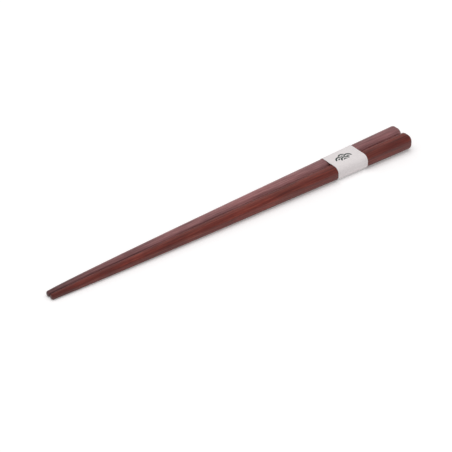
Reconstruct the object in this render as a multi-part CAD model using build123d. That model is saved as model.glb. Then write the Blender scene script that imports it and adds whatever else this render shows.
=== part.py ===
from build123d import *
import os

# A pair of lacquered chopsticks that lie side by side, held together near the handles by a
# band of paper. All lengths are in millimetres. X runs from the tips to the butts, Y across
# the pair and Z up. The origin is on the surface that the pair lies on, under its middle.

# Sticks
stick_length = 225.0
butt_width = 8.3
butt_height = 8.3
butt_corner_radius = 3.3
butt_rim_radius = 2.0
tip_width = 2.9
tip_height = 2.9
tip_corner_radius = 1.35
tip_rim_radius = 0.9
gap_between_sticks = 0.06

# Band
paper_thickness = 0.14
band_length = 19.2
band_to_butts = 30.5
band_slack = 0.05
lap_width = 6.0
lap_offset = 1.0
lap_ramp = 0.6

# The stick grows from tip to butt as this power of the distance, a little quicker at the tip.
taper_power_share = 0.72
# The form runs straight between this many sections, which stand closer together near the tip
# by this power of their share of the way.
section_count = 13
spacing_power_share = 1.5
# No corner or rim is rounder than this share of the side that it is on.
round_limit_share = 0.47
# Each end runs straight for this share of its rim's radius, and the taper lies between them.
end_share = 1.1


def between(at_tip, at_butt, along):
    """A size of the stick's section at a distance from the tip."""
    growth = (along / stick_length) ** taper_power_share
    return at_tip + (at_butt - at_tip) * growth


def section(along):
    """Width, height and corner radius of a stick at a distance from its tip."""
    width = between(tip_width, butt_width, along)
    height = between(tip_height, butt_height, along)
    radius = between(tip_corner_radius, butt_corner_radius, along)
    return width, height, min(radius, round_limit_share * min(width, height))


def underside(along):
    """Height of a stick's underside: the tips lie on the surface and the band lifts the handles."""
    band_start = stick_length - band_to_butts - band_length
    return (2 * paper_thickness + band_slack) * along / band_start


def across(along, middle_y, middle_z):
    """A plane across the sticks at a distance from the tips, its X along Y and its Y up."""
    origin = (along - stick_length / 2, middle_y, middle_z)
    return Plane(origin=origin, x_dir=(0, 1, 0), z_dir=(1, 0, 0))


def stick_outline(along):
    """The outline of the stick on the +Y side at a distance from its tip."""
    width, height, radius = section(along)
    plane = across(along, gap_between_sticks / 2 + width / 2, underside(along) + height / 2)
    return plane * RectangleRounded(width, height, radius)


def chopstick():
    """The stick on the +Y side: a rounded square at the butt that tapers to a round tip."""
    tip_rim = min(tip_rim_radius, section(0)[2], round_limit_share * min(tip_width, tip_height))
    butt_rim = min(butt_rim_radius, round_limit_share * min(butt_width, butt_height))
    tip_end = tip_rim * end_share
    butt_end = butt_rim * end_share
    outlines = []
    for index in range(section_count):
        share = (index / (section_count - 1)) ** spacing_power_share
        outlines.append(stick_outline(tip_end + (stick_length - tip_end - butt_end) * share))
    body = loft(outlines, ruled=True)
    body += extrude(outlines[0], -tip_end) + extrude(outlines[-1], butt_end)
    for end, radius in ((-1, butt_rim), (0, tip_rim)):
        body = fillet(body.faces().sort_by(Axis.X)[end].edges(), radius)
    return body


def around_sticks(offset):
    """A solid round both sticks over the band's length, standing off them by an offset."""
    band_end = stick_length - band_to_butts
    outlines = []
    for along in (band_end - band_length, band_end):
        width, height, radius = section(along)
        pair_width = 2 * width + gap_between_sticks
        plane = across(along, 0, underside(along) + height / 2)
        outline = RectangleRounded(pair_width + 2 * offset, height + 2 * offset, radius + offset)
        outlines.append(plane * outline)
    return loft(outlines, ruled=True)


def lap():
    """The paper's outer end, glued flat under the band: square at its edge, ramped at its root."""
    band_end = stick_length - band_to_butts
    edge = lap_offset - lap_width / 2
    root = lap_offset + lap_width / 2
    outlines = []
    for along in (band_end - band_length, band_end):
        top = underside(along) - band_slack
        points = [(edge, 0), (root, 0), (root + lap_ramp, top), (edge, top)]
        outlines.append(across(along, 0, 0) * make_face(Polyline(*points, close=True)))
    return loft(outlines, ruled=True)


def paper_band():
    """One strip of paper, taut round both sticks, with its two ends lapped underneath."""
    sheet = around_sticks(band_slack + paper_thickness) + lap()
    return sheet - around_sticks(band_slack)


far_stick = chopstick()
near_stick = mirror(far_stick, about=Plane.XZ)

os.makedirs("parts", exist_ok=True)
for name, piece in (
    ("chopstick_far", far_stick),
    ("chopstick_near", near_stick),
    ("paper_band", paper_band()),
):
    export_step(piece, f"parts/{name}.step")
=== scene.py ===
import math

import bpy
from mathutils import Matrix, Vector, noise


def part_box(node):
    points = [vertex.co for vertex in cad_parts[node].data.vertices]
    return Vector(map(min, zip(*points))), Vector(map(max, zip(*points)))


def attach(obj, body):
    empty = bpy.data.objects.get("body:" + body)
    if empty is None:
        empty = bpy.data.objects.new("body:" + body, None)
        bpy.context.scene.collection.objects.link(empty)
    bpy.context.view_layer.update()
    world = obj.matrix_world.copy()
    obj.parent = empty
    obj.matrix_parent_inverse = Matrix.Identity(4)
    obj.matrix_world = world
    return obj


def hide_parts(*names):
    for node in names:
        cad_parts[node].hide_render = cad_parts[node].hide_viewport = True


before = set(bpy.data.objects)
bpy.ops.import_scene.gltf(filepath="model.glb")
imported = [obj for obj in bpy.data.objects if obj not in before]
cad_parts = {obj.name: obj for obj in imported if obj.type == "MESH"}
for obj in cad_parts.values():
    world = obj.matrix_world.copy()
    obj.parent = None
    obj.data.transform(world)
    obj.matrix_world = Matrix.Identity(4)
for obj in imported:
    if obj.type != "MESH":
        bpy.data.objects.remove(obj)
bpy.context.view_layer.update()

# All lengths are in metres. X runs from the tips to the butts, Y towards the far stick, Z up.
MM = 0.001

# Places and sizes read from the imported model
stick_low, stick_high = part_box("chopstick_far")
band_low, band_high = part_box("paper_band")
STICK_LENGTH = stick_high.x - stick_low.x
TIP_X = stick_low.x
HALF_GAP = stick_low.y
BAND_START = band_low.x - TIP_X
BAND_END = band_high.x - TIP_X
BAND_LENGTH = BAND_END - BAND_START

# The sticks' section, as the solids have it
BUTT_SIZE = 8.3 * MM
BUTT_CORNER = 3.3 * MM
BUTT_RIM = 2.0 * MM
TIP_SIZE = 2.9 * MM
TIP_CORNER = 1.35 * MM
TIP_RIM = 0.9 * MM
TAPER_POWER = 0.72
END_RUN = 1.1

# The band's paper
PAPER = 0.138 * MM
GLUE = 0.004 * MM
BAND_SLACK = 0.05 * MM
LAP_EDGE = -2.0 * MM
LAP_ROOT = 4.0 * MM
LAP_RAMP = 0.35 * MM
# Its dip over the groove, and half the width of that dip as a share of a stick's side
SAG_DEPTH = 0.09 * MM
SAG_SHARE = 0.16
# How far its cut edges stand off, and the distance over which that fades
EDGE_LIFT = 0.035 * MM
EDGE_FADE = 0.8 * MM
# Its unevenness, up or down
RIPPLE_HEIGHT = 0.012 * MM
RIPPLE_LENGTH = 5 * MM
# A normal that rises or falls by more than this belongs to the paper's top or underside
LEVEL_NORMAL = 0.5

# The printed waves, with Y up: each fan's middle in radii, and whether a fan before it covers
# its right and its left side. Their middle lies at a share of the band's length.
WAVE_RADIUS = 2.6 * MM
WAVE_FANS = (((0, -1), (False, False)), ((-1, -0.5), (True, False)),
             ((1, -0.5), (False, True)), ((0, 0), (True, True)))
WAVE_RINGS = ((1.0, 0.69), (0.43, 0.12))
WAVE_GAP = 1.12
WAVE_PLACE = 0.47
INK_HEIGHT = 0.02 * MM
INK_ROOT = 0.03 * MM

# How finely the meshes are drawn
CORNER_STEPS = 12
FLAT_STEPS = 6
RIM_STEPS = 8
RING_SPACING = 1.6 * MM
SHARP_ANGLE = math.radians(40)
BAND_ROWS = 30
BAND_TOP_STEPS = 24
BAND_UNDER_STEPS = 16
LAP_STEPS = 12
LAP_RAMP_STEPS = 3
LAP_APPROACH_STEPS = 2
WAVE_STEPS = 24
SEARCH_ROUNDS = 30
LEAST_ANGLE = 0.001

# Noises, with their scales along X, Y and Z
GRAIN = {"scale": (26, 1500, 1500), "detail": 4.0, "roughness": 0.6, "distortion": 0.15}
PORES = {"scale": (150, 5200, 5200), "detail": 2.0}
CLOUDS = {"scale": (40, 160, 160), "detail": 2.0}
FIBRES = {"scale": (900, 2600, 2600), "detail": 5.0, "roughness": 0.65, "distortion": 0.4}
PAPER_SHADES = {"scale": (90, 90, 90), "detail": 2.0}
INK_BLOTS = {"scale": (2200, 2200, 2200), "detail": 3.0}
# Where in the noise each stick's grain starts
NEAR_GRAIN = 22.5
FAR_GRAIN = 13.1
# On the ends the grain and pores fade towards calm levels: while the size of the normal's X goes
# through the first range, their share goes through the second
CALM_GRAIN = 0.5
CALM_PORES = 0.6
CALM_TURN = (0.4, 0.9)
CALM_SHARE = (1.0, 0.3)

# Colours, linear. Stops are places on a ramp with their colours.
LACQUER_STOPS = ((0.33, (0.086, 0.006, 0.003, 1)), (0.50, (0.153, 0.017, 0.009, 1)),
                 (0.68, (0.225, 0.042, 0.024, 1)))
# The far stick has a painted pale sheen on its top, which grows while the normal's Z goes through
# a range
PAINTED_SHEEN_STOPS = ((0.33, (0.218, 0.084, 0.085, 1)), (0.50, (0.318, 0.141, 0.145, 1)),
               (0.68, (0.412, 0.206, 0.208, 1)))
PAINTED_SHEEN_TURN = (-0.2, 0.5)
PORE_STOPS = ((0.34, (0.55, 0.50, 0.50, 1)), (0.48, (1, 1, 1, 1)))
PORE_SHARE = 0.7
CLOUD_STOPS = ((0.35, (0.80, 0.78, 0.78, 1)), (0.65, (1.15, 1.1, 1.08, 1)))
# How the colours change along a stick, from the tip at 0 to the butt at 1
NEAR_TONES = ((0.0, (0.62, 0.54, 0.54, 1)), (0.08, (0.86, 0.82, 0.82, 1)), (0.25, (1, 1, 1, 1)),
              (0.70, (1, 1, 1, 1)), (0.92, (0.87, 0.80, 0.82, 1)))
FAR_TONES = ((0.0, (0.40, 0.36, 0.36, 1)), (0.08, (0.58, 0.54, 0.54, 1)),
             (0.32, (0.94, 0.93, 0.93, 1)), (0.70, (1, 1, 1, 1)), (0.92, (0.84, 0.80, 0.81, 1)))
PAPER_STOPS = ((0.32, (0.78, 0.73, 0.73, 1)), (0.62, (0.87, 0.82, 0.82, 1)))
PAPER_SHADE_STOPS = ((0.3, (0.96, 0.955, 0.955, 1)), (0.7, (1, 1, 1, 1)))
INK_STOPS = ((0.35, (0.006, 0.022, 0.016, 1)), (0.75, (0.018, 0.048, 0.036, 1)))
FLOOR_COLOUR = (0.95, 0.94, 0.94, 1)
WHITE = (1, 1, 1, 1)

# Surfaces: each bump has a strength and a height
LACQUER_ROUGHNESS = (0.34, 0.50)
LACQUER_IOR = 1.47
GRAIN_BUMP = (0.5, 0.04 * MM)
PORE_BUMP = (0.25, 0.02 * MM)
PAPER_ROUGHNESS = 0.78
PAPER_IOR = 1.4
PAPER_BUMP = (0.35, 0.03 * MM)
INK_ROUGHNESS = 0.6

# The surrounding's strength, as light on the object and as the lacquer mirrors it. Straight
# behind the object it is mirrored as white, which fades over a range of the angle's cosine.
WORLD_LIGHT = 0.52
WORLD_MIRRORED = 0.54
WORLD_BEHIND = (-1.0, -0.86)

# The lamp overhead, and the floor's glow, which grows with the distance as the lamp's light fades
LAMP_HEIGHT = 0.8
LAMP_SIZE = 0.8
LAMP_POWER = 3.3
FLOOR_HALF = 3.0
GLOW_DISTANCE = (0.15, 0.9)
GLOW_STRENGTH = (0.19, 0.55)

# The photograph's view, fitted to the sticks' outline
IMAGE_SIZE = 452
VIEW_AZIMUTH = math.radians(-38.15)
VIEW_ELEVATION = math.radians(33.96)
VIEW_DISTANCE = 1.5
PIXELS_PER_METRE = 1995.0
ORIGIN_PIXEL = (232.57, 218.05)
SENSOR_WIDTH = 36.0


def tapered(along):
    """The distance from the tip that sets the section: both ends run straight."""
    return min(max(along, TIP_RIM * END_RUN), STICK_LENGTH - BUTT_RIM * END_RUN)


def section(along):
    """Side and corner radius of a stick's rounded square at a distance from its tip."""
    share = (tapered(along) / STICK_LENGTH) ** TAPER_POWER
    size = TIP_SIZE + (BUTT_SIZE - TIP_SIZE) * share
    return size, TIP_CORNER + (BUTT_CORNER - TIP_CORNER) * share


def underside(along):
    """Height of the sticks' underside at a distance from the tips."""
    return (2 * PAPER + GLUE + BAND_SLACK) * tapered(along) / BAND_START


def rounded_outline(size, radius):
    """Points round a square with round corners, about its middle."""
    half = size / 2 - radius
    points = []
    corners = ((half, -half), (half, half), (-half, half), (-half, -half))
    for index, (y, z) in enumerate(corners):
        start = math.pi / 2 * (index - 1)
        for step in range(CORNER_STEPS + 1):
            angle = start + math.pi / 2 * step / CORNER_STEPS
            points.append((y + radius * math.cos(angle), z + radius * math.sin(angle)))
        y0, z0 = points[-1]
        next_y, next_z = corners[(index + 1) % 4]
        y1, z1 = next_y + radius * math.cos(angle), next_z + radius * math.sin(angle)
        for step in range(1, FLAT_STEPS):
            share = step / FLAT_STEPS
            points.append((y0 + (y1 - y0) * share, z0 + (z1 - z0) * share))
    return points


def new_piece(name, points, faces, material):
    """A smooth mesh piece that rides on the root body."""
    mesh = bpy.data.meshes.new(name)
    mesh.from_pydata(points, [], faces)
    mesh.validate()
    mesh.polygons.foreach_set("use_smooth", [True] * len(mesh.polygons))
    mesh.set_sharp_from_angle(angle=SHARP_ANGLE)
    piece = bpy.data.objects.new(name, mesh)
    bpy.context.scene.collection.objects.link(piece)
    mesh.materials.append(material)
    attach(piece, "root")
    return piece


def stick_rings():
    """Distances from the tip and insets of the stick's rings, with both rims rounded."""
    rings = []
    for step in range(RIM_STEPS + 1):
        angle = math.pi / 2 * step / RIM_STEPS
        rings.append((TIP_RIM * (1 - math.cos(angle)), TIP_RIM * (1 - math.sin(angle))))
    run = STICK_LENGTH - TIP_RIM - BUTT_RIM
    count = round(run / RING_SPACING)
    for step in range(1, count):
        rings.append((TIP_RIM + run * step / count, 0.0))
    for step in range(RIM_STEPS + 1):
        angle = math.pi / 2 * step / RIM_STEPS
        along = STICK_LENGTH - BUTT_RIM * (1 - math.sin(angle))
        rings.append((along, BUTT_RIM * (1 - math.cos(angle))))
    return rings


def make_stick(name, side, material):
    """One stick: side is 1 for the far one and -1 for the near one."""
    points, faces = [], []
    rings = stick_rings()
    for along, inset in rings:
        size, radius = section(along)
        for y, z in rounded_outline(size - 2 * inset, radius - inset):
            points.append((TIP_X + along, side * (HALF_GAP + size / 2 + y),
                           underside(along) + size / 2 + z))
    around = len(points) // len(rings)
    for ring in range(len(rings) - 1):
        for index in range(around):
            a = ring * around + index
            b = ring * around + (index + 1) % around
            face = (a, b, b + around, a + around)
            faces.append(face if side > 0 else face[::-1])
    for ring, flip in ((0, side > 0), (len(rings) - 1, side < 0)):
        cap = [ring * around + index for index in range(around)]
        faces.append(cap[::-1] if flip else cap)
    return new_piece(name, points, faces, material)


def paper_inside(along):
    """The inside of the paper's wrap: its corners' radius and middles, and its middle height."""
    size, radius = section(along)
    radius += BAND_SLACK
    half_w = size + HALF_GAP + BAND_SLACK - radius
    half_h = size / 2 + BAND_SLACK - radius
    return radius, half_w, half_h, underside(along) + size / 2


def band_path(along):
    """The paper's route round the sticks: section points, outward normals and layers below."""
    radius, half_w, half_h, middle = paper_inside(along)
    low = middle - half_h - radius
    high = middle + half_h + radius
    side = half_w + radius
    path = []

    def flat(y0, z0, y1, z1, normal, steps, layers=(0, 0)):
        for step in range(steps):
            share = step / steps
            layer = layers[0] + (layers[1] - layers[0]) * share
            path.append((y0 + (y1 - y0) * share, z0 + (z1 - z0) * share, normal, layer))

    def corner(y, z, start):
        for step in range(CORNER_STEPS):
            angle = start - math.pi / 2 * step / CORNER_STEPS
            normal = (math.cos(angle), math.sin(angle))
            path.append((y + radius * normal[0], z + radius * normal[1], normal, 0))

    down, up, near, far = (0, -1), (0, 1), (-1, 0), (1, 0)
    flat(LAP_ROOT, low, -half_w, low, down, BAND_UNDER_STEPS)
    corner(-half_w, middle - half_h, -math.pi / 2)
    flat(-side, middle - half_h, -side, middle + half_h, near, FLAT_STEPS)
    corner(-half_w, middle + half_h, math.pi)
    flat(-half_w, high, half_w, high, up, BAND_TOP_STEPS)
    corner(half_w, middle + half_h, math.pi / 2)
    flat(side, middle + half_h, side, middle - half_h, far, FLAT_STEPS)
    corner(half_w, middle - half_h, 0)
    flat(half_w, low, LAP_ROOT + LAP_RAMP, low, down, LAP_APPROACH_STEPS)
    flat(LAP_ROOT + LAP_RAMP, low, LAP_ROOT, low, down, LAP_RAMP_STEPS, (0, 1))
    flat(LAP_ROOT, low, LAP_EDGE, low, down, LAP_STEPS, (1, 1))
    path.append((LAP_EDGE, low, down, 1))
    return path


def top_sag(y, along):
    """How far the paper's top dips over the groove between the sticks."""
    return SAG_DEPTH * math.exp(-(y / (SAG_SHARE * section(along)[0])) ** 2)


def edge_lift(along):
    """The cut edges of the paper stand off a little."""
    distance = min(along - BAND_START, BAND_END - along)
    return EDGE_LIFT * math.exp(-distance / EDGE_FADE)


def paper_rise(along, y, z):
    """How far the paper stands off at a place, with its lifted edges and slight unevenness."""
    ripple = noise.noise(Vector((along, y, z)) / RIPPLE_LENGTH)
    return edge_lift(along) + RIPPLE_HEIGHT * (1 + ripple)


def make_band(material):
    """The strip of paper as one sheet, wrapped once round with its outer end lapped."""
    points, faces = [], []
    for row in range(BAND_ROWS + 1):
        along = BAND_START + BAND_LENGTH * (row / BAND_ROWS)
        inner, outer = [], []
        for y, z, (ny, nz), layer in band_path(along):
            base = layer * (PAPER + GLUE)
            if nz > LEVEL_NORMAL:
                z -= top_sag(y, along)
            if nz > -LEVEL_NORMAL:
                base += paper_rise(along, y, z)
            inner.append((TIP_X + along, y + ny * base, z + nz * base))
            base += PAPER
            outer.append((TIP_X + along, y + ny * base, z + nz * base))
        points += inner + outer
    count = len(inner)
    for row in range(BAND_ROWS):
        here, there = 2 * count * row, 2 * count * (row + 1)
        for index in range(count - 1):
            a, b, c, d = here + index, here + index + 1, there + index + 1, there + index
            faces.append((a, b, c, d))
            faces.append((a + count, d + count, c + count, b + count))
        for index in (0, count - 1):
            a, d = here + index, there + index
            side = (a, d, d + count, a + count)
            faces.append(side if index == 0 else side[::-1])
    for row in (0, BAND_ROWS):
        for index in range(count - 1):
            a = 2 * count * row + index
            side = (a, a + count, a + 1 + count, a + 1)
            faces.append(side if row == 0 else side[::-1])
    return new_piece("paper_band_sheet", points, faces, material)


def paper_top(along, y):
    """Height of the paper's outer face over the sticks."""
    radius, _, half_h, middle = paper_inside(along)
    z = middle + half_h + radius - top_sag(y, along)
    return z + paper_rise(along, y, z) + PAPER


def covered_angle(radius):
    """The angle up to which a fan covers this ring, from one radius aside and half one below."""
    low, high = 0.0, math.pi / 2
    for _ in range(SEARCH_ROUNDS):
        angle = (low + high) / 2
        u = radius * math.cos(angle) - WAVE_RADIUS
        v = radius * math.sin(angle) + WAVE_RADIUS / 2
        if math.hypot(u, v) < WAVE_RADIUS * WAVE_GAP:
            low = angle
        else:
            high = angle
    return high if high > LEAST_ANGLE else 0.0


def make_waves(material):
    """A traditional wave ornament printed on the band: four fans that overlap like scales."""
    points, faces = [], []
    middle = BAND_START + BAND_LENGTH * WAVE_PLACE
    for (fan_u, fan_v), (right_covered, left_covered) in WAVE_FANS:
        for ring in WAVE_RINGS:
            first = len(points)
            for step in range(WAVE_STEPS + 1):
                for share in ring:
                    radius = WAVE_RADIUS * share
                    covered = covered_angle(radius)
                    start = covered if right_covered else 0.0
                    end = math.pi - (covered if left_covered else 0.0)
                    angle = start + (end - start) * step / WAVE_STEPS
                    along = middle + WAVE_RADIUS * fan_u + radius * math.cos(angle)
                    y = WAVE_RADIUS * fan_v + radius * math.sin(angle)
                    top = paper_top(along, y)
                    points.append((TIP_X + along, y, top + INK_HEIGHT))
                    points.append((TIP_X + along, y, top - INK_ROOT))
            for step in range(WAVE_STEPS):
                outer = first + 4 * step
                outer_low, inner, inner_low = outer + 1, outer + 2, outer + 3
                faces += [(outer, outer + 4, inner + 4, inner),
                          (outer_low, inner_low, inner_low + 4, outer_low + 4),
                          (outer, outer_low, outer_low + 4, outer + 4),
                          (inner, inner + 4, inner_low + 4, inner_low)]
            last = first + 4 * WAVE_STEPS
            faces.append((first, first + 2, first + 3, first + 1))
            faces.append((last, last + 1, last + 3, last + 2))
    return new_piece("band_waves", points, faces, material)


def new_material(name):
    """A new material, its node tree and its shader."""
    material = bpy.data.materials.new(name)
    material.use_nodes = True
    tree = material.node_tree
    return material, tree, tree.nodes["Principled BSDF"]


def set_input(tree, socket, value):
    """Give a socket a number, or link another node's output to it."""
    if isinstance(value, bpy.types.NodeSocket):
        tree.links.new(value, socket)
    else:
        socket.default_value = value


def place_axis(tree, output, axis):
    """One axis of the object's own place, or of its surface's normal."""
    place = tree.nodes.new("ShaderNodeTexCoord")
    split = tree.nodes.new("ShaderNodeSeparateXYZ")
    tree.links.new(place.outputs[output], split.inputs["Vector"])
    return split.outputs[axis]


def ramp_colour(tree, value, stops):
    """The colour that a value has on a ramp with these (position, colour) stops."""
    ramp = tree.nodes.new("ShaderNodeValToRGB")
    elements = ramp.color_ramp.elements
    elements[0].position, elements[0].color = stops[0]
    elements[1].position, elements[1].color = stops[-1]
    for position, colour in stops[1:-1]:
        elements.new(position).color = colour
    tree.links.new(value, ramp.inputs["Fac"])
    return ramp.outputs["Color"]


def noise_level(tree, scale, detail, roughness=0.5, distortion=0.0, start=0.0):
    """Noise in the object's own metres, with a scale for each direction and a start in it."""
    place = tree.nodes.new("ShaderNodeTexCoord")
    mapping = tree.nodes.new("ShaderNodeMapping")
    mapping.inputs["Scale"].default_value = scale
    mapping.inputs["Location"].default_value = (start, start, start)
    texture = tree.nodes.new("ShaderNodeTexNoise")
    texture.inputs["Scale"].default_value = 1.0
    texture.inputs["Detail"].default_value = detail
    texture.inputs["Roughness"].default_value = roughness
    texture.inputs["Distortion"].default_value = distortion
    tree.links.new(place.outputs["Object"], mapping.inputs["Vector"])
    tree.links.new(mapping.outputs["Vector"], texture.inputs["Vector"])
    return texture.outputs["Fac"]


def mixed_colours(tree, blend_type, factor, first, second):
    """Two colours mixed or multiplied."""
    mix = tree.nodes.new("ShaderNodeMix")
    mix.data_type = "RGBA"
    mix.blend_type = blend_type
    set_input(tree, mix.inputs["Factor"], factor)
    # The colour inputs come after the number and vector ones of the same names
    tree.links.new(first, mix.inputs[6])
    tree.links.new(second, mix.inputs[7])
    return mix.outputs[2]


def mixed_values(tree, factor, first, second):
    """A value between two others, at this share of the way."""
    mix = tree.nodes.new("ShaderNodeMix")
    for name, value in (("Factor", factor), ("A", first), ("B", second)):
        set_input(tree, mix.inputs[name], value)
    return mix.outputs["Result"]


def worked_out(tree, operation, *values, clamp=False):
    """What a math node makes of these values."""
    node = tree.nodes.new("ShaderNodeMath")
    node.operation = operation
    node.use_clamp = clamp
    for socket, value in zip(node.inputs, values):
        set_input(tree, socket, value)
    return node.outputs["Value"]


def carried(tree, value, source, target, interpolation="LINEAR"):
    """A value carried from one range to another."""
    node = tree.nodes.new("ShaderNodeMapRange")
    node.interpolation_type = interpolation
    node.inputs["From Min"].default_value, node.inputs["From Max"].default_value = source
    node.inputs["To Min"].default_value, node.inputs["To Max"].default_value = target
    tree.links.new(value, node.inputs["Value"])
    return node.outputs["Result"]


def bump_normal(tree, level, strength_and_height, below=None):
    """The normal that a level bumps, over an earlier bump where there is one."""
    bump = tree.nodes.new("ShaderNodeBump")
    strength, height = strength_and_height
    bump.inputs["Strength"].default_value = strength
    bump.inputs["Distance"].default_value = height
    tree.links.new(level, bump.inputs["Height"])
    if below:
        tree.links.new(below, bump.inputs["Normal"])
    return bump.outputs["Normal"]


def calm_ends(tree, value, calm):
    """A grain that fades towards a calm level on the stick's ends."""
    turn = worked_out(tree, "ABSOLUTE", place_axis(tree, "Normal", "X"))
    return mixed_values(tree, carried(tree, turn, CALM_TURN, CALM_SHARE), calm, value)


def lacquer_material(name, tones, start, painted_sheen=None):
    """Red-brown lacquer over fine straight grain: tones along the stick, and a painted pale sheen
    on its top where one is given.
    """
    material, tree, shader = new_material(name)
    grain = calm_ends(tree, noise_level(tree, **GRAIN, start=start), CALM_GRAIN)
    pores = calm_ends(tree, noise_level(tree, **PORES), CALM_PORES)
    clouds = noise_level(tree, **CLOUDS, start=start)
    length = carried(tree, place_axis(tree, "Object", "X"), (TIP_X, TIP_X + STICK_LENGTH), (0, 1))

    colour = ramp_colour(tree, grain, LACQUER_STOPS)
    # Where given, a painted sheen makes the upward-facing surface paler, growing with the
    # normal's Z.
    if painted_sheen:
        painted_sheen_share = carried(tree, place_axis(tree, "Normal", "Z"), PAINTED_SHEEN_TURN, (0, 1))
        colour = mixed_colours(tree, "MIX", painted_sheen_share, colour, ramp_colour(tree, grain, painted_sheen))
    for share, value, stops in ((PORE_SHARE, pores, PORE_STOPS), (1.0, clouds, CLOUD_STOPS),
                                (1.0, length, tones)):
        colour = mixed_colours(tree, "MULTIPLY", share, colour, ramp_colour(tree, value, stops))
    tree.links.new(colour, shader.inputs["Base Color"])
    roughness = carried(tree, grain, (0, 1), LACQUER_ROUGHNESS)
    tree.links.new(roughness, shader.inputs["Roughness"])
    normal = bump_normal(tree, pores, PORE_BUMP, bump_normal(tree, grain, GRAIN_BUMP))
    tree.links.new(normal, shader.inputs["Normal"])
    shader.inputs["IOR"].default_value = LACQUER_IOR
    return material


def paper_material():
    """White paper with faint fibres."""
    material, tree, shader = new_material("band_paper")
    fibres = noise_level(tree, **FIBRES)
    shades = ramp_colour(tree, noise_level(tree, **PAPER_SHADES), PAPER_SHADE_STOPS)
    colour = ramp_colour(tree, fibres, PAPER_STOPS)
    colour = mixed_colours(tree, "MULTIPLY", 1.0, colour, shades)
    tree.links.new(colour, shader.inputs["Base Color"])
    tree.links.new(bump_normal(tree, fibres, PAPER_BUMP), shader.inputs["Normal"])
    shader.inputs["Roughness"].default_value = PAPER_ROUGHNESS
    shader.inputs["IOR"].default_value = PAPER_IOR
    return material


def ink_material():
    """Dark green ink, a little thinner in places."""
    material, tree, shader = new_material("band_ink")
    colour = ramp_colour(tree, noise_level(tree, **INK_BLOTS), INK_STOPS)
    tree.links.new(colour, shader.inputs["Base Color"])
    shader.inputs["Roughness"].default_value = INK_ROUGHNESS
    return material


def seen_rays(tree):
    """1 for camera, glossy and transmission rays, and 0 for the rays that light the object."""
    path = tree.nodes.new("ShaderNodeLightPath")
    total = path.outputs["Is Camera Ray"]
    for name in ("Is Glossy Ray", "Is Transmission Ray"):
        total = worked_out(tree, "ADD", total, path.outputs[name], clamp=True)
    return total


def floor_material():
    """White that takes shadows, and glows enough to stay white where the lamp's light fades."""
    material = bpy.data.materials.new("floor_white")
    material.use_nodes = True
    tree = material.node_tree
    tree.nodes.clear()
    output = tree.nodes.new("ShaderNodeOutputMaterial")
    diffuse = tree.nodes.new("ShaderNodeBsdfDiffuse")
    diffuse.inputs["Color"].default_value = FLOOR_COLOUR
    glow = tree.nodes.new("ShaderNodeEmission")
    glow.inputs["Color"].default_value = WHITE
    place = tree.nodes.new("ShaderNodeTexCoord")
    distance = tree.nodes.new("ShaderNodeVectorMath")
    distance.operation = "LENGTH"
    tree.links.new(place.outputs["Object"], distance.inputs[0])
    lift = carried(tree, distance.outputs["Value"], GLOW_DISTANCE, GLOW_STRENGTH)
    strength = worked_out(tree, "MULTIPLY", seen_rays(tree), lift)
    tree.links.new(strength, glow.inputs["Strength"])
    both = tree.nodes.new("ShaderNodeAddShader")
    tree.links.new(diffuse.outputs["BSDF"], both.inputs[0])
    tree.links.new(glow.outputs["Emission"], both.inputs[1])
    tree.links.new(both.outputs["Shader"], output.inputs["Surface"])
    return material


def make_floor():
    """A plain white floor that keeps the object's shadow."""
    corners = [(-1, -1), (1, -1), (1, 1), (-1, 1)]
    mesh = bpy.data.meshes.new("floor")
    mesh.from_pydata([(x * FLOOR_HALF, y * FLOOR_HALF, 0) for x, y in corners],
                     [], [(0, 1, 2, 3)])
    mesh.materials.append(floor_material())
    floor = bpy.data.objects.new("floor", mesh)
    bpy.context.scene.collection.objects.link(floor)


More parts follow.
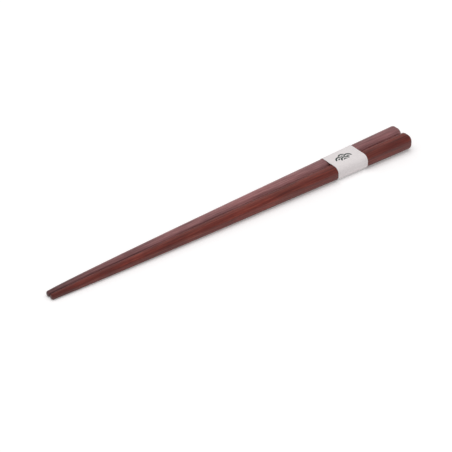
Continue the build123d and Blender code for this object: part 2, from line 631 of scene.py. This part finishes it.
def make_world():
    """A surrounding that is seen as white, and mirrored as white only behind the object."""
    world = bpy.data.worlds.new("studio")
    bpy.context.scene.world = world
    world.use_nodes = True
    tree = world.node_tree
    background = tree.nodes["Background"]
    background.inputs["Color"].default_value = WHITE
    place = tree.nodes.new("ShaderNodeTexCoord")
    ahead = tree.nodes.new("ShaderNodeVectorMath")
    ahead.operation = "DOT_PRODUCT"
    ahead.inputs[1].default_value = direction(VIEW_AZIMUTH, 0)
    tree.links.new(place.outputs["Generated"], ahead.inputs[0])
    mirrored = carried(tree, ahead.outputs["Value"], WORLD_BEHIND, (1.0, WORLD_MIRRORED),
                       "SMOOTHSTEP")
    camera_ray = tree.nodes.new("ShaderNodeLightPath").outputs["Is Camera Ray"]
    seen = mixed_values(tree, camera_ray, mirrored, 1.0)
    strength = mixed_values(tree, seen_rays(tree), WORLD_LIGHT, seen)
    tree.links.new(strength, background.inputs["Strength"])


def direction(azimuth, elevation):
    """The unit vector from the object towards a viewer at these angles."""
    return Vector((math.sin(azimuth) * math.cos(elevation),
                   -math.cos(azimuth) * math.cos(elevation), math.sin(elevation)))


def make_lamp():
    """A soft square lamp straight above the object, which isn't seen in its gloss."""
    data = bpy.data.lights.new("top_lamp", "AREA")
    data.shape = "SQUARE"
    data.size = LAMP_SIZE
    data.energy = LAMP_POWER
    lamp = bpy.data.objects.new("top_lamp", data)
    bpy.context.scene.collection.objects.link(lamp)
    lamp.location = (0, 0, LAMP_HEIGHT)
    lamp.visible_glossy = False


def make_camera():
    """The photograph's camera: the part's origin falls on ORIGIN_PIXEL."""
    data = bpy.data.cameras.new("camera")
    camera = bpy.data.objects.new("camera", data)
    bpy.context.scene.collection.objects.link(camera)
    back = direction(VIEW_AZIMUTH, VIEW_ELEVATION)
    camera.rotation_euler = back.to_track_quat("Z", "Y").to_euler()
    right = Vector((math.cos(VIEW_AZIMUTH), math.sin(VIEW_AZIMUTH), 0))
    up = back.cross(right)
    offset_x = (ORIGIN_PIXEL[0] - IMAGE_SIZE / 2) / PIXELS_PER_METRE
    offset_y = (ORIGIN_PIXEL[1] - IMAGE_SIZE / 2) / PIXELS_PER_METRE
    camera.location = back * VIEW_DISTANCE - right * offset_x + up * offset_y
    data.sensor_width = SENSOR_WIDTH
    data.lens = PIXELS_PER_METRE * VIEW_DISTANCE / IMAGE_SIZE * SENSOR_WIDTH
    bpy.context.scene.camera = camera


make_camera()
make_world()
make_floor()
make_lamp()
bpy.context.scene.view_settings.view_transform = "Standard"

far = make_stick("far_stick", 1,
                 lacquer_material("lacquer_far", FAR_TONES, FAR_GRAIN, PAINTED_SHEEN_STOPS))
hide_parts("chopstick_far")
near = make_stick("near_stick", -1, lacquer_material("lacquer_near", NEAR_TONES, NEAR_GRAIN))
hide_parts("chopstick_near")
band = make_band(paper_material())
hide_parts("paper_band")
make_waves(ink_material())
